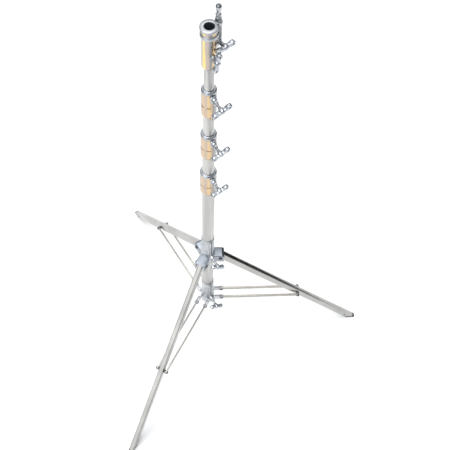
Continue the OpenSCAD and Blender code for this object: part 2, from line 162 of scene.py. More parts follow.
def metal(name, dark, light, rough_low, rough_high, stretch=(1, 1, 1), patch=14, grain=700, bump_by=0.06):
    material, tree, shader = new_material(name)
    shader.inputs["Metallic"].default_value = 1.0
    patches = noise(tree, patch, stretch=stretch)
    colour = ramp(tree, patches.outputs["Fac"], [(0.32, dark), (0.68, light)])
    tree.links.new(colour.outputs["Color"], shader.inputs["Base Color"])
    fine = noise(tree, grain, detail=2.0, stretch=stretch)
    smears = noise(tree, patch * 3, detail=6.0, roughness=0.65)
    rough = spread(tree, smears.outputs["Fac"], rough_low, rough_high)
    tree.links.new(rough.outputs["Result"], shader.inputs["Roughness"])
    bump(tree, shader, fine.outputs["Fac"], bump_by, 0.0004)
    return material


def plain(name, dark, light, rough_low, rough_high, grain=400, bump_by=0.2):
    """A non-metal: rubber or nylon."""
    material, tree, shader = new_material(name)
    patches = noise(tree, 40)
    colour = ramp(tree, patches.outputs["Fac"], [(0.3, dark), (0.7, light)])
    tree.links.new(colour.outputs["Color"], shader.inputs["Base Color"])
    fine = noise(tree, grain, detail=3.0)
    rough = spread(tree, fine.outputs["Fac"], rough_low, rough_high)
    tree.links.new(rough.outputs["Result"], shader.inputs["Roughness"])
    bump(tree, shader, fine.outputs["Fac"], bump_by, 0.0003)
    return material


along_z = (1, 1, 0.04)
zinc_tube = metal("zinc_tube", (0.44, 0.44, 0.43), (0.68, 0.67, 0.65), 0.28, 0.42, along_z, 34, 1600)
zinc_leg = metal("zinc_leg", (0.37, 0.37, 0.355), (0.50, 0.49, 0.475), 0.14, 0.26, (1, 1, 1), 9, 900)
zinc_bar = metal("zinc_bar", (0.34, 0.32, 0.29), (0.46, 0.44, 0.40), 0.26, 0.40, (1, 1, 1), 12, 900)
blue_zinc = metal("blue_zinc", (0.28, 0.31, 0.35), (0.38, 0.41, 0.45), 0.28, 0.42, (1, 1, 1), 30, 700)
cast_zinc = metal("cast_zinc", (0.42, 0.44, 0.46), (0.60, 0.61, 0.63), 0.30, 0.46, (1, 1, 1), 40, 500, 0.12)
chrome = metal("chrome", (0.42, 0.45, 0.49), (0.58, 0.60, 0.63), 0.22, 0.36, (1, 1, 1), 50, 400, 0.05)
plated_screw = metal("plated_screw", (0.44, 0.45, 0.47), (0.62, 0.63, 0.64), 0.16, 0.28, (1, 1, 1), 60, 900)
dark_bolt = metal("dark_bolt", (0.09, 0.09, 0.10), (0.20, 0.20, 0.21), 0.26, 0.44, (1, 1, 1), 90, 900, 0.1)
dark_stud = metal("dark_stud", (0.09, 0.10, 0.11), (0.26, 0.28, 0.30), 0.26, 0.40, (1, 1, 1), 70, 900, 0.06)
# Duller metal for the socket's bore; its darker colour is painted shade inside the socket.
bore_metal_painted_shade = metal("bore_metal_painted_shade", (0.20, 0.23, 0.27), (0.30, 0.33, 0.37), 0.40, 0.55, (1, 1, 1), 60, 600)
brass = metal("brass", (0.55, 0.40, 0.18), (0.70, 0.55, 0.28), 0.24, 0.38)
rubber = plain("rubber", (0.012, 0.012, 0.012), (0.03, 0.03, 0.03), 0.55, 0.8)
nylon = plain("nylon", (0.62, 0.62, 0.58), (0.74, 0.74, 0.70), 0.4, 0.55, bump_by=0.05)

# %% [markdown]
# ### Yellow plating with painted reflection and shade bands
# The barrels of the clamp collars and of the head have a warm cast that the tubes and handles
# don't: the tint of yellow passivated zinc. Round a barrel the colour changes in bands of gold, mauve
# and grey. The bands are set at the headings where the barrels show highlights, reflections and shade,
# so they are painted reflection and painted shade laid over the plating's tint. The tint follows the
# compass direction round the mast, which an arctangent of the object coordinates gives, and a noise
# stretched along the mast makes the bands' edges wander.


# %% Yellow plating with painted reflection and shade bands
def tint_with_painted_bands(name, stops, rough):
    """Plating whose tint changes round the mast in bands of painted reflection and shade. A stop is (compass
    degrees, colour).
    """
    material, tree, shader = new_material(name)
    shader.inputs["Metallic"].default_value = 1.0
    coords = tree.nodes.new("ShaderNodeTexCoord")
    split = tree.nodes.new("ShaderNodeSeparateXYZ")
    tree.links.new(coords.outputs["Object"], split.inputs["Vector"])
    compass = tree.nodes.new("ShaderNodeMath")
    compass.operation = "ARCTAN2"
    tree.links.new(split.outputs["Y"], compass.inputs[0])
    tree.links.new(split.outputs["X"], compass.inputs[1])
    turn = tree.nodes.new("ShaderNodeMapRange")
    turn.inputs["From Min"].default_value = -math.pi
    turn.inputs["From Max"].default_value = math.pi
    tree.links.new(compass.outputs["Value"], turn.inputs["Value"])
    wander = noise(tree, 60, detail=4.0, stretch=(1.2, 1.2, 0.2))
    shift = spread(tree, wander.outputs["Fac"], -0.014, 0.014)
    place = tree.nodes.new("ShaderNodeMath")
    tree.links.new(turn.outputs["Result"], place.inputs[0])
    tree.links.new(shift.outputs["Result"], place.inputs[1])
    # The ramp lays the bands: painted reflection and painted shade over the plating's tint.
    colour = ramp(tree, place.outputs["Value"], [((angle + 180) / 360, tint) for angle, tint in stops])
    tree.links.new(colour.outputs["Color"], shader.inputs["Base Color"])
    smears = noise(tree, 60, detail=6.0)
    level = spread(tree, smears.outputs["Fac"], rough, rough + 0.12)
    tree.links.new(level.outputs["Result"], shader.inputs["Roughness"])
    fine = noise(tree, 600, detail=2.0)
    bump(tree, shader, fine.outputs["Fac"], 0.06, 0.0003)
    return material


pale = (0.66, 0.63, 0.59)
peach = (0.66, 0.50, 0.32)
gold = (0.80, 0.67, 0.25)
amber = (0.72, 0.53, 0.29)
mauve = (0.49, 0.41, 0.37)
dark_grey = (0.27, 0.27, 0.28)
warm_grey = (0.33, 0.30, 0.28)
cool_grey = (0.38, 0.38, 0.38)
# Bands by compass heading: the golds and pales are painted highlights, the mauves and greys painted shade
# and darker reflections.
collar_tint_and_painted_bands = [
    (-180, pale), (-158, mauve), (-134, peach), (-112, mauve), (-92, amber), (-80, peach), (-64, warm_grey),
    (-35, cool_grey), (20, cool_grey), (70, peach), (110, amber), (150, mauve), (180, pale),
]
head_tint_and_painted_bands = [
    (-180, mauve), (-148, mauve), (-137, gold), (-125, gold), (-116, mauve), (-96, mauve), (-84, dark_grey),
    (-76, dark_grey), (-64, amber), (-50, amber), (-40, mauve), (0, cool_grey), (60, mauve), (90, gold),
    (120, mauve), (180, mauve),
]
# Barrel finishes: yellow plating tint with painted reflection and painted shade bands round them.
gold_barrel_painted_bands = tint_with_painted_bands("gold_barrel_painted_bands", collar_tint_and_painted_bands, 0.2)
gold_head_painted_bands = tint_with_painted_bands("gold_head_painted_bands", head_tint_and_painted_bands, 0.18)
print("finishes:", len(bpy.data.materials))

# %% [markdown]
# ## Shape helpers
# A stand like this is turned, cast, sawn and bent, so four shapes make nearly all of it: a turned
# profile, a rod, a bevelled block and a plate with round ends. Each helper starts from a bmesh
# operator or a few points, rounds its edges as the real process would, and adds the result to the
# piece being made. An exact boolean cuts a hole or a notch from a closed shape before anything else
# is added to it.


# %% Shape helpers
def heading(degrees):
    return Matrix.Rotation(math.radians(degrees), 4, "Z")


def lift(z):
    return Matrix.Translation((0, 0, z))


def add(bm, part, matrix, material=0):
    """Moves a part into place and adds it to the piece."""
    bmesh.ops.transform(part, matrix=matrix, verts=part.verts)
    bmesh.ops.recalc_face_normals(part, faces=part.faces)
    for face in part.faces:
        face.material_index = material
    mesh = bpy.data.meshes.new("part")
    part.to_mesh(mesh)
    part.free()
    bm.from_mesh(mesh)
    bpy.data.meshes.remove(mesh)


def round_edges(part, offset, segments=2, angle=30):
    """Bevels every edge that is sharper than an angle."""
    sharp = [e for e in part.edges if len(e.link_faces) == 2 and e.calc_face_angle(0) > math.radians(angle)]
    if sharp and offset > 0:
        bmesh.ops.bevel(
            part, geom=sharp, offset=offset, segments=segments, profile=0.5, affect="EDGES",
            clamp_overlap=True, material=-1,
        )


def turned(bm, profile, matrix=Matrix(), material=0, steps=72, edge=0.4 * mm, closed=True):
    """Spins a profile of (radius, height) points about Z. A closed profile makes a ring."""
    part = bmesh.new()
    verts = [part.verts.new((r, 0, z)) for r, z in profile]
    edges = [part.edges.new(pair) for pair in zip(verts, verts[1:])]
    if closed:
        edges.append(part.edges.new((verts[-1], verts[0])))
    bmesh.ops.spin(
        part, geom=verts + edges, axis=(0, 0, 1), cent=(0, 0, 0), angle=math.tau, steps=steps,
        use_merge=True, use_duplicate=False,
    )
    bmesh.ops.remove_doubles(part, verts=part.verts, dist=1e-6)
    bmesh.ops.recalc_face_normals(part, faces=part.faces)
    round_edges(part, edge)
    add(bm, part, matrix, material)


def rod(bm, radius, low, high, matrix=Matrix(), material=0, sides=40, edge=0.5 * mm):
    """A round bar along Z between two heights."""
    part = bmesh.new()
    bmesh.ops.create_cone(
        part, cap_ends=True, segments=sides, radius1=radius, radius2=radius, depth=high - low,
        matrix=lift((low + high) / 2),
    )
    round_edges(part, edge, angle=50)
    add(bm, part, matrix, material)


def block(bm, low, high, matrix=Matrix(), material=0, edge=1 * mm, segments=3):
    """A box between two corners, with rounded edges."""
    part = bmesh.new()
    size = [b - a for a, b in zip(low, high)]
    centre = [(a + b) / 2 for a, b in zip(low, high)]
    bmesh.ops.create_cube(part, size=1, matrix=Matrix.Translation(centre) @ Matrix.Diagonal((*size, 1)))
    round_edges(part, edge, segments)
    add(bm, part, matrix, material)


def round_ended(bm, length, radius, low, high, matrix=Matrix(), material=0, edge=0.6 * mm, sides=32):
    """A plate between two heights whose outline is two half circles, one at x = 0 and one at x = length."""
    part = bmesh.new()
    bmesh.ops.create_circle(
        part, cap_ends=True, segments=sides, radius=radius,
        matrix=Matrix.Rotation(math.pi / sides, 4, "Z"),
    )
    for vert in part.verts:
        if vert.co.x > 0:
            vert.co.x += length
    grown = bmesh.ops.extrude_face_region(part, geom=part.faces[:])
    top = [g for g in grown["geom"] if isinstance(g, bmesh.types.BMVert)]
    bmesh.ops.translate(part, verts=part.verts, vec=(0, 0, low))
    bmesh.ops.translate(part, verts=top, vec=(0, 0, high - low))
    bmesh.ops.recalc_face_normals(part, faces=part.faces)
    round_edges(part, edge, 2, 50)
    add(bm, part, matrix, material)


def finish(name, bm, body, nodes, materials):
    """Makes the object, smooths all but its sharp edges, and ties it to its CAD body and nodes."""
    mesh = bpy.data.meshes.new(name)
    bm.to_mesh(mesh)
    bm.free()
    for material in materials:
        mesh.materials.append(material)
    mesh.shade_smooth()
    mesh.set_sharp_from_angle(angle=math.radians(32))
    piece = bpy.data.objects.new(name, mesh)
    bpy.context.scene.collection.objects.link(piece)
    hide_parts(*nodes)
    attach(piece, body)
    return piece


def loose_object(name, bm):
    mesh = bpy.data.meshes.new(name)
    bm.to_mesh(mesh)
    bm.free()
    holder = bpy.data.objects.new(name, mesh)
    bpy.context.scene.collection.objects.link(holder)
    return holder


def cut(bm, cutter_bm):
    """The first shape with the second cut out of it, by the exact boolean."""
    body = loose_object("cut_body", bm)
    cutter = loose_object("cut_tool", cutter_bm)
    modifier = body.modifiers.new("cut", "BOOLEAN")
    modifier.operation = "DIFFERENCE"
    modifier.solver = "EXACT"
    modifier.object = cutter
    result = bmesh.new()
    result.from_object(body, bpy.context.evaluated_depsgraph_get())
    for holder in (body, cutter):
        mesh = holder.data
        bpy.data.objects.remove(holder)
        bpy.data.meshes.remove(mesh)
    return result


def paint_above(bm, height, material):
    """Gives the faces whose middle is above a height another of the piece's materials."""
    for face in bm.faces:
        if face.calc_center_median().z > height:
            face.material_index = material


out_along_x = Matrix.Rotation(math.pi / 2, 4, "Y")  # turns Z to X
side_along_y = Matrix.Rotation(-math.pi / 2, 4, "X")  # turns Z to Y

# %% [markdown]
# ## Mast tubes
# Four welded steel tubes, zinc plated. The tube mills leave faint marks along them, which the
# finish carries. Each is a plain tube with its ends deburred, so the visual is a turned ring as
# long as the real tube, most of it hidden inside the next one.


# %% Mast tubes
plug_step = 26 * mm
head_shoulder = socket_top - 107 * mm


def mast_tube(name, n, low, high, body):
    bm = bmesh.new()
    outer = tube_r(n)
    inner = outer - tube_wall
    turned(bm, [(inner, low), (outer, low), (outer, high), (inner, high)], steps=96, edge=0.3 * mm)
    return finish(name, bm, body, [name], [zinc_tube])


tube_bodies = ("base_mast", "riser_1", "riser_2", "riser_3")
tube_names = ("base_tube", "riser_1_tube", "riser_2_tube", "riser_3_tube")
for n in range(4):
    top = collar_top(n) - 17 * mm if n < 3 else head_shoulder
    mast_tube(tube_names[n], n, base_bottom + n * plug_step, top, tube_bodies[n])
print("mast tubes:", tube_names)

# %% [markdown]
# ## Clamp collars
# Each collar is a casting pressed over the top of its tube. From the top it has a bright turned
# rim, a narrow groove, two slightly swelled bands with a groove between them, and a foot that
# tapers to the tube. A rib runs down the barrel under the boss that carries the clamp screw.
# A turned profile gives the barrel, and the rib and the boss are blocks with generous casting radii.


# %% Clamp collars
collar_wall = 5.5 * mm
boss_r = 9.5 * mm  # the round boss that a clamp screw passes through
hex_r = 8.5 * mm  # the hexagon at the boss's outer end


def barrel_profile(n):
    """Section of tube n's collar, from the lip inside the rim round to the bore."""
    r = tube_r(n) + collar_wall
    top = collar_top(n)
    low = top - collar_h
    half = (top - 12 * mm + low) / 2
    lip = tube_r(n + 1) + 0.8 * mm
    return [
        (lip, top - 5 * mm), (lip, top - 0.6 * mm), (lip + 0.6 * mm, top), (tube_r(n) + 1.5 * mm, top),
        (r - 0.5 * mm, top - 3.5 * mm), (r + 0.5 * mm, top - 7 * mm), (r + 0.5 * mm, top - 10 * mm),
        (r - 1 * mm, top - 12 * mm), (r - 0.1 * mm, top - 14.5 * mm), (r, top - 18 * mm),
        (r + 0.2 * mm, (top + half) / 2 - 5 * mm), (r, half + 5 * mm), (r - 0.2 * mm, half + 3 * mm),
        (r - 1 * mm, half + 1 * mm), (r - 1 * mm, half - 1 * mm), (r + 0.3 * mm, half - 3 * mm),
        (r + 0.5 * mm, half - 6 * mm), (r + 0.5 * mm, low + 20 * mm), (r + 0.2 * mm, low + 14 * mm),
        (r - 0.6 * mm, low + 9 * mm), (r - 1.8 * mm, low + 5 * mm), (tube_r(n) + 2.2 * mm, low + 1.8 * mm),
        (tube_r(n) + 1.2 * mm, low), (tube_r(n), low), (tube_r(n), top - 5 * mm),
    ]


def clamp_collar(name, n, body):
    bm = bmesh.new()
    turned(bm, barrel_profile(n), steps=96, edge=0.3 * mm)
    paint_above(bm, collar_top(n) - 12 * mm, 1)
    r = tube_r(n) + collar_wall
    root = tube_r(n) + 1 * mm
    screw_z = collar_top(n) - screw_drop
    low = collar_top(n) - collar_h
    side = heading(screw_heading)
    block(bm, (root, -6 * mm, low - 3 * mm), (r + 3.5 * mm, 6 * mm, screw_z), side, 0, 2.4 * mm)
    at_screw = lift(screw_z) @ side
    block(bm, (root, -boss_r, -9 * mm), (r + 7 * mm, boss_r, 12 * mm), at_screw, 1, 3.5 * mm)
    rod(bm, boss_r, root, r + 13 * mm, at_screw @ out_along_x, 1, edge=1.4 * mm)
    rod(bm, hex_r, r + 12.5 * mm, r + 22 * mm, at_screw @ out_along_x, 1, sides=6, edge=0.8 * mm)
    # The barrel's finish carries painted reflection and shade bands round it.
    return finish(name, bm, body, [name], [gold_barrel_painted_bands, chrome])


clamp_names = ("base_clamp", "riser_1_clamp", "riser_2_clamp")
for n in range(3):
    collar = clamp_collar(f"{clamp_names[n]}_collar", n, tube_bodies[n])
    print(collar.name, "faces", len(collar.data.polygons))

# %% [markdown]
# ## Guide bushes, plugs and pads
# These are inside the stand. The nylon bushes and plugs keep the risers from rattling, and a brass
# pad stops each screw from scoring the tube. Only a sliver of a bush shows at the top of a collar.
# They are modelled so that an extended or opened stand is still right.


# %% Guide bushes, plugs and pads
def bush(n):
    """The ring in the mouth of a collar that the next riser slides in."""
    bm = bmesh.new()
    high = collar_top(n) - 5 * mm
    low = high - 12 * mm
    outer = tube_r(n)
    inner = tube_r(n + 1) + 0.3 * mm
    turned(bm, [(inner, low), (outer, low), (outer, high), (inner, high)], steps=72)
    name = f"{clamp_names[n]}_bush"
    return finish(name, bm, tube_bodies[n], [name], [nylon])


def riser_plug(n):
    """A flanged plug with the lead-in chamfer that lets it start into the tube."""
    bm = bmesh.new()
    low = base_bottom + n * plug_step
    flange = tube_r(n - 1) - tube_wall - 0.3 * mm
    stem = tube_r(n) - tube_wall
    profile = [
        (0, low - 7.6 * mm), (flange - 1 * mm, low - 7.6 * mm), (flange, low - 6.6 * mm), (flange, low),
        (stem, low), (stem, low + 16.5 * mm), (stem - 1.5 * mm, low + 18 * mm), (0, low + 18 * mm),
    ]
    turned(bm, profile, closed=False, steps=64)
    name = f"riser_{n}_plug"
    return finish(name, bm, tube_bodies[n], [name], [nylon])


def base_plug():
    """The rubber stopper in the base tube's lower end."""
    bm = bmesh.new()
    outer = tube_r(0)
    inner = outer - tube_wall
    profile = [
        (0, base_bottom - 4 * mm), (outer - 1.5 * mm, base_bottom - 4 * mm), (outer, base_bottom - 2.5 * mm),
        (outer, base_bottom), (inner, base_bottom), (inner, base_bottom + 16 * mm),
        (inner - 2 * mm, base_bottom + 18 * mm), (0, base_bottom + 18 * mm),
    ]
    turned(bm, profile, closed=False, steps=64)
    return finish("base_tube_plug", bm, "base_mast", ["base_tube_plug"], [rubber])


def pad(name, tube_radius, z, side, body):
    """A small button that presses on the tube."""
    bm = bmesh.new()
    start = tube_radius + 1 * mm
    end = start + 2.3 * mm
    profile = [(0, start), (4.2 * mm, start), (4.8 * mm, start + 0.6 * mm), (4.8 * mm, end), (0, end)]
    turned(bm, profile, lift(z) @ heading(side) @ out_along_x, closed=False, steps=32, edge=0.2 * mm)
    return finish(name, bm, body, [name], [brass])


base_plug()
for n in range(3):
    bush(n)
    riser_plug(n + 1)
    pad(f"{clamp_names[n]}_pad", tube_r(n + 1), collar_top(n) - screw_drop, screw_heading, tube_bodies[n])

# %% [markdown]
# ## Tee screws
# Seven identical cast tee handles turn the clamp screws. The bar is a dog bone: a slim waist that
# swells to flat round ends, each with a small slot, on a hub with a shallow domed cap. The bar
# starts as a cube that is cut along its length, and each ring of points is then widened to the
# handle's outline. The screw is turned, with ridges for its thread.

# %% Tee screws
tee_half = 33 * mm
tee_end_r = 8.5 * mm
tee_slot_at = 24.5 * mm
hub_back = 9 * mm  # from the middle of the bar back to the screw's shoulder
screw_r = 5 * mm
screw_core_r = 4.4 * mm
pad_face = 3.3 * mm  # from a tube's surface out to the tip of its screw


def tee_bar():
    """The dog-bone bar, along Y, with its middle at the origin and its thickness along X."""
    part = bmesh.new()
    bmesh.ops.create_cube(part, size=1, matrix=Matrix.Diagonal((12 * mm, 2 * tee_half, 10 * mm, 1)))
    lengthwise = [e for e in part.edges if abs(e.verts[0].co.y - e.verts[1].co.y) > tee_half]
    bmesh.ops.subdivide_edges(part, edges=lengthwise, cuts=35, use_grid_fill=True)
    for vert in part.verts:
        along = abs(vert.co.y) / tee_half
        swell = min(max((along - 0.30) / 0.40, 0), 1)
        swell = swell * swell * (3 - 2 * swell)
        half_width = (5.0 + 3.5 * swell) * mm
        from_tip = (1 - along) * tee_half
        if from_tip < tee_end_r:
            half_width = tee_end_r * math.sqrt(max(1 - (1 - from_tip / tee_end_r) ** 2, 0.09))
        vert.co.z = math.copysign(half_width, vert.co.z)
        vert.co.x = math.copysign(6.0 * mm, vert.co.x)
    bmesh.ops.recalc_face_normals(part, faces=part.faces)
    long_edges = [e for e in part.edges if e.calc_face_angle(0) > math.radians(60)]
    bmesh.ops.bevel(
        part, geom=long_edges, offset=1.4 * mm, segments=3, profile=0.5, affect="EDGES",
        clamp_overlap=True, material=-1,
    )
    return part


def tee_handle(name, place, reach, tilt, body):
    """A handle whose middle is a reach out along a clamp's axis, turned by a tilt about it."""
    base = place @ Matrix.Rotation(math.radians(tilt), 4, "X") @ Matrix.Translation((reach, 0, 0))
    slots = bmesh.new()
    slot_len = 4.4 * mm
    for side in (-1, 1):
        start = Matrix.Translation((0, side * tee_slot_at - slot_len / 2, 0))
        along_bar = start @ Matrix.Rotation(math.pi / 2, 4, "Z") @ side_along_y
        round_ended(slots, slot_len, 2 * mm, -10 * mm, 10 * mm, along_bar, edge=0, sides=16)
    bm = bmesh.new()
    add(bm, cut(tee_bar(), slots), base)
    hub = [
        (0, -hub_back), (7.2 * mm, -hub_back), (8.6 * mm, -7.5 * mm), (9 * mm, -4 * mm), (9 * mm, 2 * mm),
        (8 * mm, 6 * mm), (6 * mm, 7.4 * mm), (3 * mm, 8 * mm), (0, 8 * mm),
    ]
    turned(bm, hub, base @ out_along_x, closed=False, steps=40, edge=0.4 * mm)
    return finish(name, bm, body, [name], [chrome])


def tee_screw(name, place, tip, reach, body):
    """Screw from its tip to the hub: threaded, with a plain neck and a shoulder under the hub."""
    bm = bmesh.new()
    end = reach - hub_back
    neck = end - 13 * mm
    profile = [(0, tip), (3.6 * mm, tip), (screw_core_r, tip + 1 * mm)]
    pitch = 1.5 * mm
    root_r = 4.3 * mm
    z = tip + 1.6 * mm
    while z + pitch < neck:
        profile += [(screw_r, z), (screw_r, z + 0.4 * mm), (root_r, z + 0.75 * mm), (root_r, z + 1.0 * mm)]
        z += pitch
    profile += [
        (screw_core_r, neck), (screw_core_r, end - 5.5 * mm), (6.2 * mm, end - 5.2 * mm),
        (6.5 * mm, end - 4.6 * mm), (6.5 * mm, end), (0, end),
    ]
    turned(bm, profile, place @ out_along_x, closed=False, steps=28, edge=0)
    return finish(name, bm, body, [name], [plated_screw])


mast_reach = 75 * mm
mast_tilts = (16, 20, 20)
for n in range(3):
    place = lift(collar_top(n) - screw_drop) @ heading(screw_heading)
    clamp = clamp_names[n]
    tee_screw(f"{clamp}_screw", place, tube_r(n + 1) + pad_face, mast_reach, clamp)
    tee_handle(f"{clamp}_handle", place, mast_reach, mast_tilts[n], clamp)

socket_reach = 44 * mm
socket_r = 14.4 * mm
socket_place = lift(socket_top - 100 * mm) @ heading(screw_heading)
tee_screw("socket_screw", socket_place, socket_r + 0.3 * mm, socket_reach, "socket_clamp")
tee_handle("socket_handle", socket_place, socket_reach, 78, "socket_clamp")

base_reach = 82 * mm
sleeve_h = 165 * mm
sleeve_screw_z = 57 * mm
leg_sleeve_low = hinge_z - 26 * mm
brace_sleeve_low = brace_z - 38 * mm
leg_screw_place = lift(leg_sleeve_low + sleeve_screw_z) @ heading(base_screw_heading)
brace_screw_place = lift(brace_sleeve_low + sleeve_screw_z) @ heading(base_screw_heading)
for name, place, tilt in (("leg_collar", leg_screw_place, -38), ("brace_collar", brace_screw_place, -34)):
    tee_screw(f"{name}_screw", place, tube_r(0) + pad_face, base_reach, f"{name}_clamp")
    tee_handle(f"{name}_handle", place, base_reach, tilt, f"{name}_clamp")
    pad(f"{name}_pad", tube_r(0), place.translation.z, base_screw_heading, name)

# %% [markdown]
# ## Socket head
# The head is one casting, turned inside and at its top. A round flange takes the load, a groove
# and a second ring stiffen it, and the barrel runs down over the thinnest riser. A notch in the
# flange lets the stud stand close. Two ears stand out for the stud arm, and a boss low on the right
# carries the socket screw. The rings are bare and bright, the barrel keeps its yellow plating with
# its painted reflection and shade bands, and the socket's bore is dull, in a darker colour that is
# painted shade.

# %% Socket head
head_low = socket_top - 150 * mm
head_r = 22.5 * mm
head_profile = [
    (socket_r, socket_top - 1 * mm), (socket_r + 1 * mm, socket_top), (24.6 * mm, socket_top),
    (26 * mm, socket_top - 0.8 * mm), (26.6 * mm, socket_top - 2.4 * mm), (26.6 * mm, socket_top - 6 * mm),
    (25.8 * mm, socket_top - 7.4 * mm), (23.6 * mm, socket_top - 8.6 * mm), (head_r, socket_top - 10 * mm),
    (head_r, socket_top - 19.5 * mm), (24.6 * mm, socket_top - 21 * mm), (25.8 * mm, socket_top - 23.5 * mm),
    (25.8 * mm, socket_top - 32 * mm), (24.8 * mm, socket_top - 34.5 * mm), (head_r, socket_top - 37 * mm),
    (head_r, head_low + 9 * mm), (head_r - 0.8 * mm, head_low + 4.5 * mm), (head_r - 3 * mm, head_low),
    (tube_r(3), head_low), (tube_r(3), head_shoulder), (socket_r, head_shoulder),
]
head = bmesh.new()
turned(head, head_profile, steps=96, edge=0.3 * mm)
for face in head.faces:
    middle = face.calc_center_median()
    if middle.xy.length > head_r + 0.7 * mm or middle.z > socket_top - 8 * mm:
        face.material_index = 1
    # The bore's faces take the darker finish: painted shade inside the socket.
    if middle.xy.length < tube_r(3) + 0.2 * mm:
        face.material_index = 2
stud_place = heading(stud_heading) @ Matrix.Translation((stud_r, 0, socket_top))
notch = bmesh.new()
rod(notch, 12 * mm, -18 * mm, 5 * mm, stud_place, edge=0)
head = cut(head, notch)
along_screw = socket_place @ out_along_x
rod(head, boss_r, 17 * mm, head_r + 3 * mm, along_screw, 1, edge=1.2 * mm)
rod(head, hex_r, head_r + 2 * mm, head_r + 6.8 * mm, along_screw, 1, sides=6, edge=0.8 * mm)
arm_place = heading(stud_heading) @ Matrix.Translation((stud_r, 0, arm_pivot_z))
for low_y, high_y in ((6.3 * mm, 10.3 * mm), (-10.3 * mm, -6.3 * mm)):
    inward = arm_place @ Matrix.Rotation(math.pi, 4, "Z") @ side_along_y
    round_ended(head, 13 * mm, 8 * mm, low_y, high_y, inward, 1, edge=0.9 * mm)
# The barrel's finish carries painted reflection and shade bands round it.
head_finishes = [gold_head_painted_bands, cast_zinc, bore_metal_painted_shade]
piece = finish("socket_head", head, "riser_3", ["socket_head"], head_finishes)
print("socket head faces:", len(piece.data.polygons))

# %% [markdown]
# ## Stud and its arm
# The stud is turned from dark bar: a domed head, a waist that a clamp screw seats in, and a broader
# base. Its middle, round the waist, is in the lighter plated finish, a painted reflection band. It
# stands on a boss at the top of a short arm. The arm's web runs down the outside to an eye between
# the head's two ears, so the stud can be tilted out from upright to level.

# %% Stud and its arm
bm = bmesh.new()
rod(bm, 8 * mm, -6 * mm, 6 * mm, arm_place @ side_along_y, edge=0.8 * mm)
web_top = socket_top - arm_pivot_z - 13 * mm
block(bm, (2.6 * mm, -6 * mm, -3 * mm), (9.6 * mm, 6 * mm, web_top), arm_place, 0, 1.8 * mm)
boss_low = socket_top - arm_pivot_z - 15 * mm
boss = [
    (0, boss_low), (9.5 * mm, boss_low), (11.2 * mm, boss_low + 2 * mm), (11.5 * mm, boss_low + 4 * mm),
    (11.5 * mm, boss_low + 13 * mm), (10.2 * mm, boss_low + 15 * mm), (0, boss_low + 15 * mm),
]
turned(bm, boss, arm_place, closed=False, steps=48)
finish("stud_arm", bm, "stud_arm", ["stud_arm"], [cast_zinc])

bm = bmesh.new()
shank = 7.94 * mm
foot = shank + 1 * mm
waist = 5.8 * mm
stud_profile = [
    (0, -2 * mm), (foot, -2 * mm), (foot, 12 * mm), (shank, 14 * mm), (shank, 24.6 * mm),
    (6.2 * mm, 26.6 * mm), (waist, 28 * mm), (waist, 34 * mm), (6.4 * mm, 35.8 * mm), (shank, 37.2 * mm),
    (shank, 49.5 * mm), (7.4 * mm, 52 * mm), (6 * mm, 54 * mm), (3.5 * mm, 55 * mm), (0, 55 * mm),
]
turned(bm, stud_profile, stud_place, closed=False, steps=48, edge=0.25 * mm)
# Middle of the stud in the lighter plated finish: a painted reflection band.
paint_above(bm, socket_top + 13 * mm, 1)
paint_above(bm, socket_top + 44 * mm, 0)
finish("stud", bm, "stud_arm", ["stud"], [dark_stud, plated_screw])

bm = bmesh.new()
pivot_place = arm_place @ Matrix.Rotation(-math.pi / 2, 4, "Z")
stud_arm_reach = 30 * mm
pivot_end = -16.3 * mm
hub_start = stud_arm_reach - hub_back
pivot_profile = [
    (0, pivot_end), (screw_r, pivot_end), (screw_r, 15.5 * mm), (6.5 * mm, 15.8 * mm),
    (6.5 * mm, hub_start), (0, hub_start),
]
along_pivot = pivot_place @ out_along_x
turned(bm, pivot_profile, along_pivot, closed=False, steps=32, edge=0.3 * mm)
rod(bm, 8 * mm, pivot_end, -10.6 * mm, along_pivot, sides=6, edge=0.7 * mm)
finish("stud_arm_screw", bm, "stud_arm_clamp", ["stud_arm_screw"], [plated_screw])
tee_handle("stud_arm_handle", pivot_place, stud_arm_reach, 0, "stud_arm_clamp")

# %% [markdown]
# ## Base collars
# Two sleeves slide on the base tube. The upper one carries the legs and the lower one the braces.
# Each is split down its upper part, with a lug on either side of the split, and its tee screw passes
# through a boss below the lugs. The sleeve is a turned ring, and the lugs are two blocks with the
# saw cut's gap between them.


# %% Base collars
def sleeve(bm, low):
    """A thick lower band, a thinner upper part, two lugs beside the split and a boss for the screw."""
    bore = tube_r(0) + 0.3 * mm
    high = low + sleeve_h
    band_r = 27 * mm
    neck_r = 24.8 * mm
    chamfer = 1.2 * mm
    profile = [
        (bore, low), (band_r - chamfer, low), (band_r, low + chamfer), (band_r, low + 44.8 * mm),
        (band_r - chamfer, low + 46 * mm), (neck_r, low + 47.2 * mm), (neck_r, high - chamfer),
        (24.2 * mm, high), (bore + 0.4 * mm, high), (bore, high - 0.4 * mm),
    ]
    turned(bm, profile, steps=96, edge=0.3 * mm)
    side = heading(base_screw_heading)
    for low_y, high_y in ((1.3 * mm, 6.5 * mm), (-6.5 * mm, -1.3 * mm)):
        foot_corner = (23.6 * mm, low_y, low + 54 * mm)
        top_corner = (32 * mm, high_y, high - 3 * mm)
        block(bm, foot_corner, top_corner, side, 0, 1.6 * mm)
    at_screw = lift(low + sleeve_screw_z) @ side @ out_along_x
    rod(bm, boss_r, 23.5 * mm, 44 * mm, at_screw, 0, edge=1.5 * mm)
    rod(bm, hex_r, 43.5 * mm, 53 * mm, at_screw, 1, sides=6, edge=0.8 * mm)


bm = bmesh.new()
sleeve(bm, leg_sleeve_low)
finish("leg_collar", bm, "leg_collar", ["leg_collar"], [cast_zinc, chrome])
bm = bmesh.new()
sleeve(bm, brace_sleeve_low)
finish("brace_collar", bm, "brace_collar", ["brace_collar"], [cast_zinc, chrome])

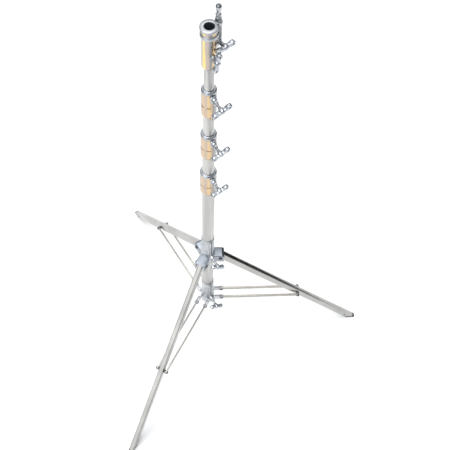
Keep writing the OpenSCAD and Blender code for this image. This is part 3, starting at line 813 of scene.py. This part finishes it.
# %% [markdown]
# ## Leg brackets and hinge bolts
# The top of each leg sits in a folded steel channel that is open below and at its outer end, so
# the leg can swing. The channel starts as one bent line that is extruded outwards, and its last
# stretch slopes down like the real bracket's lip. Solidify gives it the sheet's thickness.


# %% Leg brackets
def channel():
    """Inverted U section along X, drawn on the sheet's outer face."""
    part = bmesh.new()
    half, top, low, bend = 21.5 * mm, 19 * mm, -24 * mm, 4 * mm
    corner = [
        (half - bend + bend * math.sin(a), top - bend + bend * math.cos(a))
        for a in (math.radians(15 * k) for k in range(7))
    ]
    outline = [(-y, z) for y, z in reversed([*corner, (half, low)])] + [*corner[1:], (half, low)]
    start = 24.6 * mm
    verts = [part.verts.new((start, y, z)) for y, z in outline]
    edges = [part.edges.new(pair) for pair in zip(verts, verts[1:])]
    front = edges
    for x, drop in ((55 * mm, 0), (64 * mm, 6.5 * mm)):
        grown = bmesh.ops.extrude_edge_only(part, edges=front)["geom"]
        ends = [g for g in grown if isinstance(g, bmesh.types.BMVert)]
        front = [g for g in grown if isinstance(g, bmesh.types.BMEdge)]
        for vert in ends:
            vert.co.x = x
            if vert.co.z > 0:
                vert.co.z -= drop
    bmesh.ops.recalc_face_normals(part, faces=part.faces)
    return part


sheet = 3.5 * mm
bm = bmesh.new()
for side in leg_headings:
    add(bm, channel(), lift(hinge_z) @ heading(side))
bmesh.ops.remove_doubles(bm, verts=bm.verts, dist=1e-6)
bmesh.ops.recalc_face_normals(bm, faces=bm.faces)
bmesh.ops.solidify(bm, geom=bm.faces[:], thickness=sheet)
brackets = finish("leg_brackets", bm, "leg_collar", ["leg_brackets"], [blue_zinc])
soften = brackets.modifiers.new("rolled_edges", "BEVEL")
soften.width = 0.8 * mm
soften.segments = 2
soften.limit_method = "ANGLE"
soften.angle_limit = math.radians(50)


def bolt(bm, radius, reach, head_r, head_t, place):
    """A bolt along Y through the origin, with a hex head, a hex nut and a washer under each."""
    along = place @ side_along_y
    tip = 0.6 * mm
    washer = 1.2 * mm
    seat = reach - head_t
    rod(bm, radius, -reach, reach, along, edge=0.5 * mm, sides=28)
    for near, far in ((seat, reach - tip), (-reach + tip, -seat)):
        rod(bm, head_r, near, far, along, sides=6, edge=0.6 * mm)
    for near, far in ((seat - washer, seat), (-seat, -seat + washer)):
        rod(bm, head_r + 0.6 * mm, near, far, along, edge=0.2 * mm, sides=28)


bm = bmesh.new()
for side in leg_headings:
    place = lift(hinge_z) @ heading(side) @ Matrix.Translation((hinge_r, 0, 0))
    bolt(bm, 5 * mm, 26 * mm, 7.4 * mm, 3.3 * mm, place)
    for near, far in ((10.3 * mm, 18 * mm), (-18 * mm, -10.3 * mm)):
        rod(bm, 7.8 * mm, near, far, place @ side_along_y, edge=0.3 * mm, sides=28)
finish("leg_hinge_bolts", bm, "leg_collar", ["leg_hinge_bolts"], [dark_bolt])

# %% [markdown]
# ## Legs
# Each leg is rectangular steel tube with rolled corners. Its upper end is rounded so that it can
# turn in its bracket, and its lower end is cut level and shod with rubber. The leg is a plate with
# round ends seen from the side, as wide as the tube, and a plane cuts it at the sole's height.


# %% Legs
def leg_frame(n):
    """Places a shape modelled along +X, from the hinge bolt outwards, on leg n."""
    at_hinge = lift(hinge_z) @ heading(leg_headings[n - 1]) @ Matrix.Translation((hinge_r, 0, 0))
    return at_hinge @ Matrix.Rotation(leg_slope, 4, "Y")


def leg_bar(bm, n, above, below):
    """The part of a leg's outline that lies between two heights."""
    part = bmesh.new()
    half = leg_w / 2
    past_floor = 60 * mm
    round_ended(part, leg_len + past_floor, leg_h / 2, -half, half, side_along_y, edge=3 * mm, sides=48)
    bmesh.ops.transform(part, matrix=leg_frame(n), verts=part.verts)
    for height, up in ((above, -1), (below, 1)):
        sliced = bmesh.ops.bisect_plane(
            part, geom=part.verts[:] + part.edges[:] + part.faces[:], plane_co=(0, 0, height),
            plane_no=(0, 0, up), clear_outer=True,
        )
        rim = [g for g in sliced["geom_cut"] if isinstance(g, bmesh.types.BMEdge)]
        if rim:
            bmesh.ops.holes_fill(part, edges=rim)
    add(bm, part, Matrix())


cross_hole_r = 4.5 * mm
cross_hole_back = 44 * mm  # from the leg's end back to the hole
for n in (1, 2, 3):
    bm = bmesh.new()
    leg_bar(bm, n, foot_h, 2 * hinge_z)
    hole = bmesh.new()
    at_hole = leg_frame(n) @ Matrix.Translation((leg_len - cross_hole_back, 0, 0)) @ side_along_y
    rod(hole, cross_hole_r, -15 * mm, 15 * mm, at_hole, edge=0, sides=28)
    leg = finish(f"leg_{n}_tube", cut(bm, hole), f"leg_{n}", [f"leg_{n}_tube"], [zinc_leg])
    bm = bmesh.new()
    leg_bar(bm, n, 0, foot_h)
    finish(f"leg_{n}_foot", bm, f"leg_{n}", [f"leg_{n}_foot"], [rubber])
print("leg faces:", len(leg.data.polygons))

# %% [markdown]
# ## Braces
# Two flat bars run from the brace collar to each leg, one on either side. A long bolt joins them
# through the leg, with a spacer tube on each side. At the collar each bar has its own short bolt in
# a forked lug. The bars' ends are sheared round and their edges are slightly broken.


# %% Braces
def brace_frame(n, side):
    """Places a shape modelled along +X, from the collar's bolt outwards, on one bar of leg n."""
    at_bolt = Matrix.Translation((brace_r, side * brace_offset, 0))
    return lift(brace_z) @ heading(leg_headings[n - 1]) @ at_bolt


bar_h = 15 * mm
bar_t = 5 * mm
flat_on_edge = Matrix.Rotation(math.pi / 2, 4, "X")
for n in (1, 2, 3):
    bm = bmesh.new()
    for side in (-1, 1):
        on_edge = brace_frame(n, side) @ flat_on_edge
        round_ended(bm, brace_len, bar_h / 2, -bar_t / 2, bar_t / 2, on_edge, edge=0.7 * mm)
    finish(f"brace_{n}_bars", bm, f"brace_{n}", [f"brace_{n}_bars"], [zinc_bar])
    bm = bmesh.new()
    for side in (-1, 1):
        end = brace_frame(n, side) @ Matrix.Translation((brace_len, 0, 0))
        outward = end @ (side_along_y if side > 0 else flat_on_edge)
        dome = [
            (0, bar_t / 2), (6.4 * mm, bar_t / 2), (6.4 * mm, 4.4 * mm), (5.6 * mm, 6 * mm),
            (4 * mm, 7.1 * mm), (0, 7.5 * mm),
        ]
        turned(bm, dome, outward, closed=False, steps=32, edge=0.2 * mm)
    finish(f"brace_{n}_bolts", bm, f"brace_{n}", [f"brace_{n}_bolts"], [dark_bolt])
    bm = bmesh.new()
    through = leg_frame(n) @ Matrix.Translation((brace_at, 0, 0)) @ side_along_y
    rod(bm, 4 * mm, -17.2 * mm, 17.2 * mm, through, sides=24)
    for near, far in ((10 * mm, 17 * mm), (-17 * mm, -10 * mm)):
        rod(bm, 6.4 * mm, near, far, through, edge=0.4 * mm, sides=28)
    finish(f"leg_{n}_brace_spacer", bm, f"leg_{n}", [f"leg_{n}_brace_spacer"], [dark_bolt])

lugs = bmesh.new()
bolts = bmesh.new()
lug_half = 9 * mm  # half a lug's height, and its eye's radius
fork_half = 5.8 * mm
cheek = 3 * mm
root = 34 * mm - brace_r
for n in (1, 2, 3):
    for side in (-1, 1):
        place = brace_frame(n, side)
        inner_corner = (24 * mm - brace_r, -fork_half, -lug_half)
        block(lugs, inner_corner, (root, fork_half, lug_half), place, 0, 1.5 * mm)
        for y in (-fork_half, fork_half - cheek):
            low_corner = (root - 3 * mm, y, -lug_half + 0.1 * mm)
            high_corner = (-1 * mm, y + cheek, lug_half - 0.1 * mm)
            block(lugs, low_corner, high_corner, place, 0, 0.9 * mm)
            rod(lugs, lug_half, y, y + cheek, place @ side_along_y, edge=0.7 * mm)
        bolt(bolts, 4 * mm, 8.6 * mm, 5.8 * mm, 2.2 * mm, place)
finish("brace_lugs", lugs, "brace_collar", ["brace_lugs"], [cast_zinc])
finish("brace_collar_bolts", bolts, "brace_collar", ["brace_collar_bolts"], [dark_bolt])

# %% [markdown]
# ## Stage
# A plain pale floor, a broad soft sun and two large cards. Bright plating shows its surroundings, so
# what stands round the floor matters as much as the light: upright tubes mirror the pale floor, and
# the flat tops mirror the softbox behind. The walls of the studio are grey, with an unlit doorway in
# one of them, which gives the upper face of leg 1 its dark stretch. Only reflections see the walls:
# the eye sees plain white behind the stand.

# %% Floor and world
scene = bpy.context.scene
floor_reach = 3
floor_mesh = bpy.data.meshes.new("floor")
bm = bmesh.new()
bmesh.ops.create_grid(bm, x_segments=1, y_segments=1, size=floor_reach)
bm.to_mesh(floor_mesh)
bm.free()
floor = bpy.data.objects.new("floor", floor_mesh)
scene.collection.objects.link(floor)
floor_material, tree, shader = new_material("pale_floor")
shader.inputs["Roughness"].default_value = 0.9
shader.inputs["Specular IOR Level"].default_value = 0.1
shader.inputs["Base Color"].default_value = (0.93, 0.93, 0.93, 1)
floor_mesh.materials.append(floor_material)

world = bpy.data.worlds.new("studio")
scene.world = world
world.use_nodes = True
sky = world.node_tree
walls = sky.nodes["Background"]
walls.inputs["Color"].default_value = (0.94, 0.97, 1, 1)
doorway = heading(34) @ Vector((1, 0, 0))
coords = sky.nodes.new("ShaderNodeTexCoord")
facing = sky.nodes.new("ShaderNodeVectorMath")
facing.operation = "DOT_PRODUCT"
facing.inputs[1].default_value = doorway
brightness = sky.nodes.new("ShaderNodeMapRange")
brightness.inputs["From Min"].default_value = 0.80
brightness.inputs["From Max"].default_value = 0.93
brightness.inputs["To Min"].default_value = 0.42
brightness.inputs["To Max"].default_value = 0.02
sky.links.new(coords.outputs["Generated"], facing.inputs[0])
sky.links.new(facing.outputs["Value"], brightness.inputs["Value"])
sky.links.new(brightness.outputs["Result"], walls.inputs["Strength"])
seen = sky.nodes.new("ShaderNodeBackground")
seen.inputs["Color"].default_value = (1, 1, 1, 1)
path = sky.nodes.new("ShaderNodeLightPath")
either = sky.nodes.new("ShaderNodeMixShader")
sky.links.new(path.outputs["Is Camera Ray"], either.inputs["Fac"])
sky.links.new(walls.outputs["Background"], either.inputs[1])
sky.links.new(seen.outputs["Background"], either.inputs[2])
sky.links.new(either.outputs["Shader"], sky.nodes["World Output"].inputs["Surface"])


# %% Lights
def aim(light, place, target):
    light.location = place
    light.rotation_euler = (Vector(target) - Vector(place)).to_track_quat("-Z", "Y").to_euler()
    scene.collection.objects.link(light)


def card(name, place, target, size, power):
    """A square softbox that faces a point."""
    data = bpy.data.lights.new(name, "AREA")
    data.shape = "SQUARE"
    data.size = size
    data.energy = power
    aim(bpy.data.objects.new(name, data), place, target)


sun_data = bpy.data.lights.new("soft_sun", "SUN")
sun_data.energy = 2.7
sun_data.angle = math.radians(56)
aim(bpy.data.objects.new("soft_sun", sun_data), (-0.9, -0.45, 3.0), (0, 0, 0))
card("front_left_card", (-2.8, -3.0, 1.9), (0, 0, 0.4), size=3.4, power=44)
card("back_softbox", (0.2, 2.4, 5.4), (0, 0, 1.0), size=3.0, power=34)

# %% [markdown]
# ### Camera
# A long lens looks down at the stand from above its head, which is why the head looks large and the
# legs fan out below it. The camera's axes are built from where it looks: a heading, a downward
# pitch and a slight roll. The shift moves the picture on the sensor without turning the camera.

# %% Camera
camera_data = bpy.data.cameras.new("camera")
camera_data.sensor_width = 36
camera_data.lens = 60.824
camera_data.shift_x = 0.02911
camera_data.shift_y = -0.112
camera = bpy.data.objects.new("camera", camera_data)
yaw, pitch, roll = math.radians(87.52), math.radians(55.98), math.radians(0.79)
forward = Vector((math.cos(yaw) * math.cos(pitch), math.sin(yaw) * math.cos(pitch), -math.sin(pitch)))
right = Vector((math.sin(yaw), -math.cos(yaw), 0))
up = right.cross(forward)
right_rolled = math.cos(roll) * right + math.sin(roll) * up
up_rolled = -math.sin(roll) * right + math.cos(roll) * up
axes = Matrix((right_rolled, up_rolled, -forward)).transposed().to_4x4()
camera.matrix_world = Matrix.Translation((-0.0493, -1.412, 3.2839)) @ axes
scene.collection.objects.link(camera)
scene.camera = camera
scene.view_settings.view_transform = "Standard"
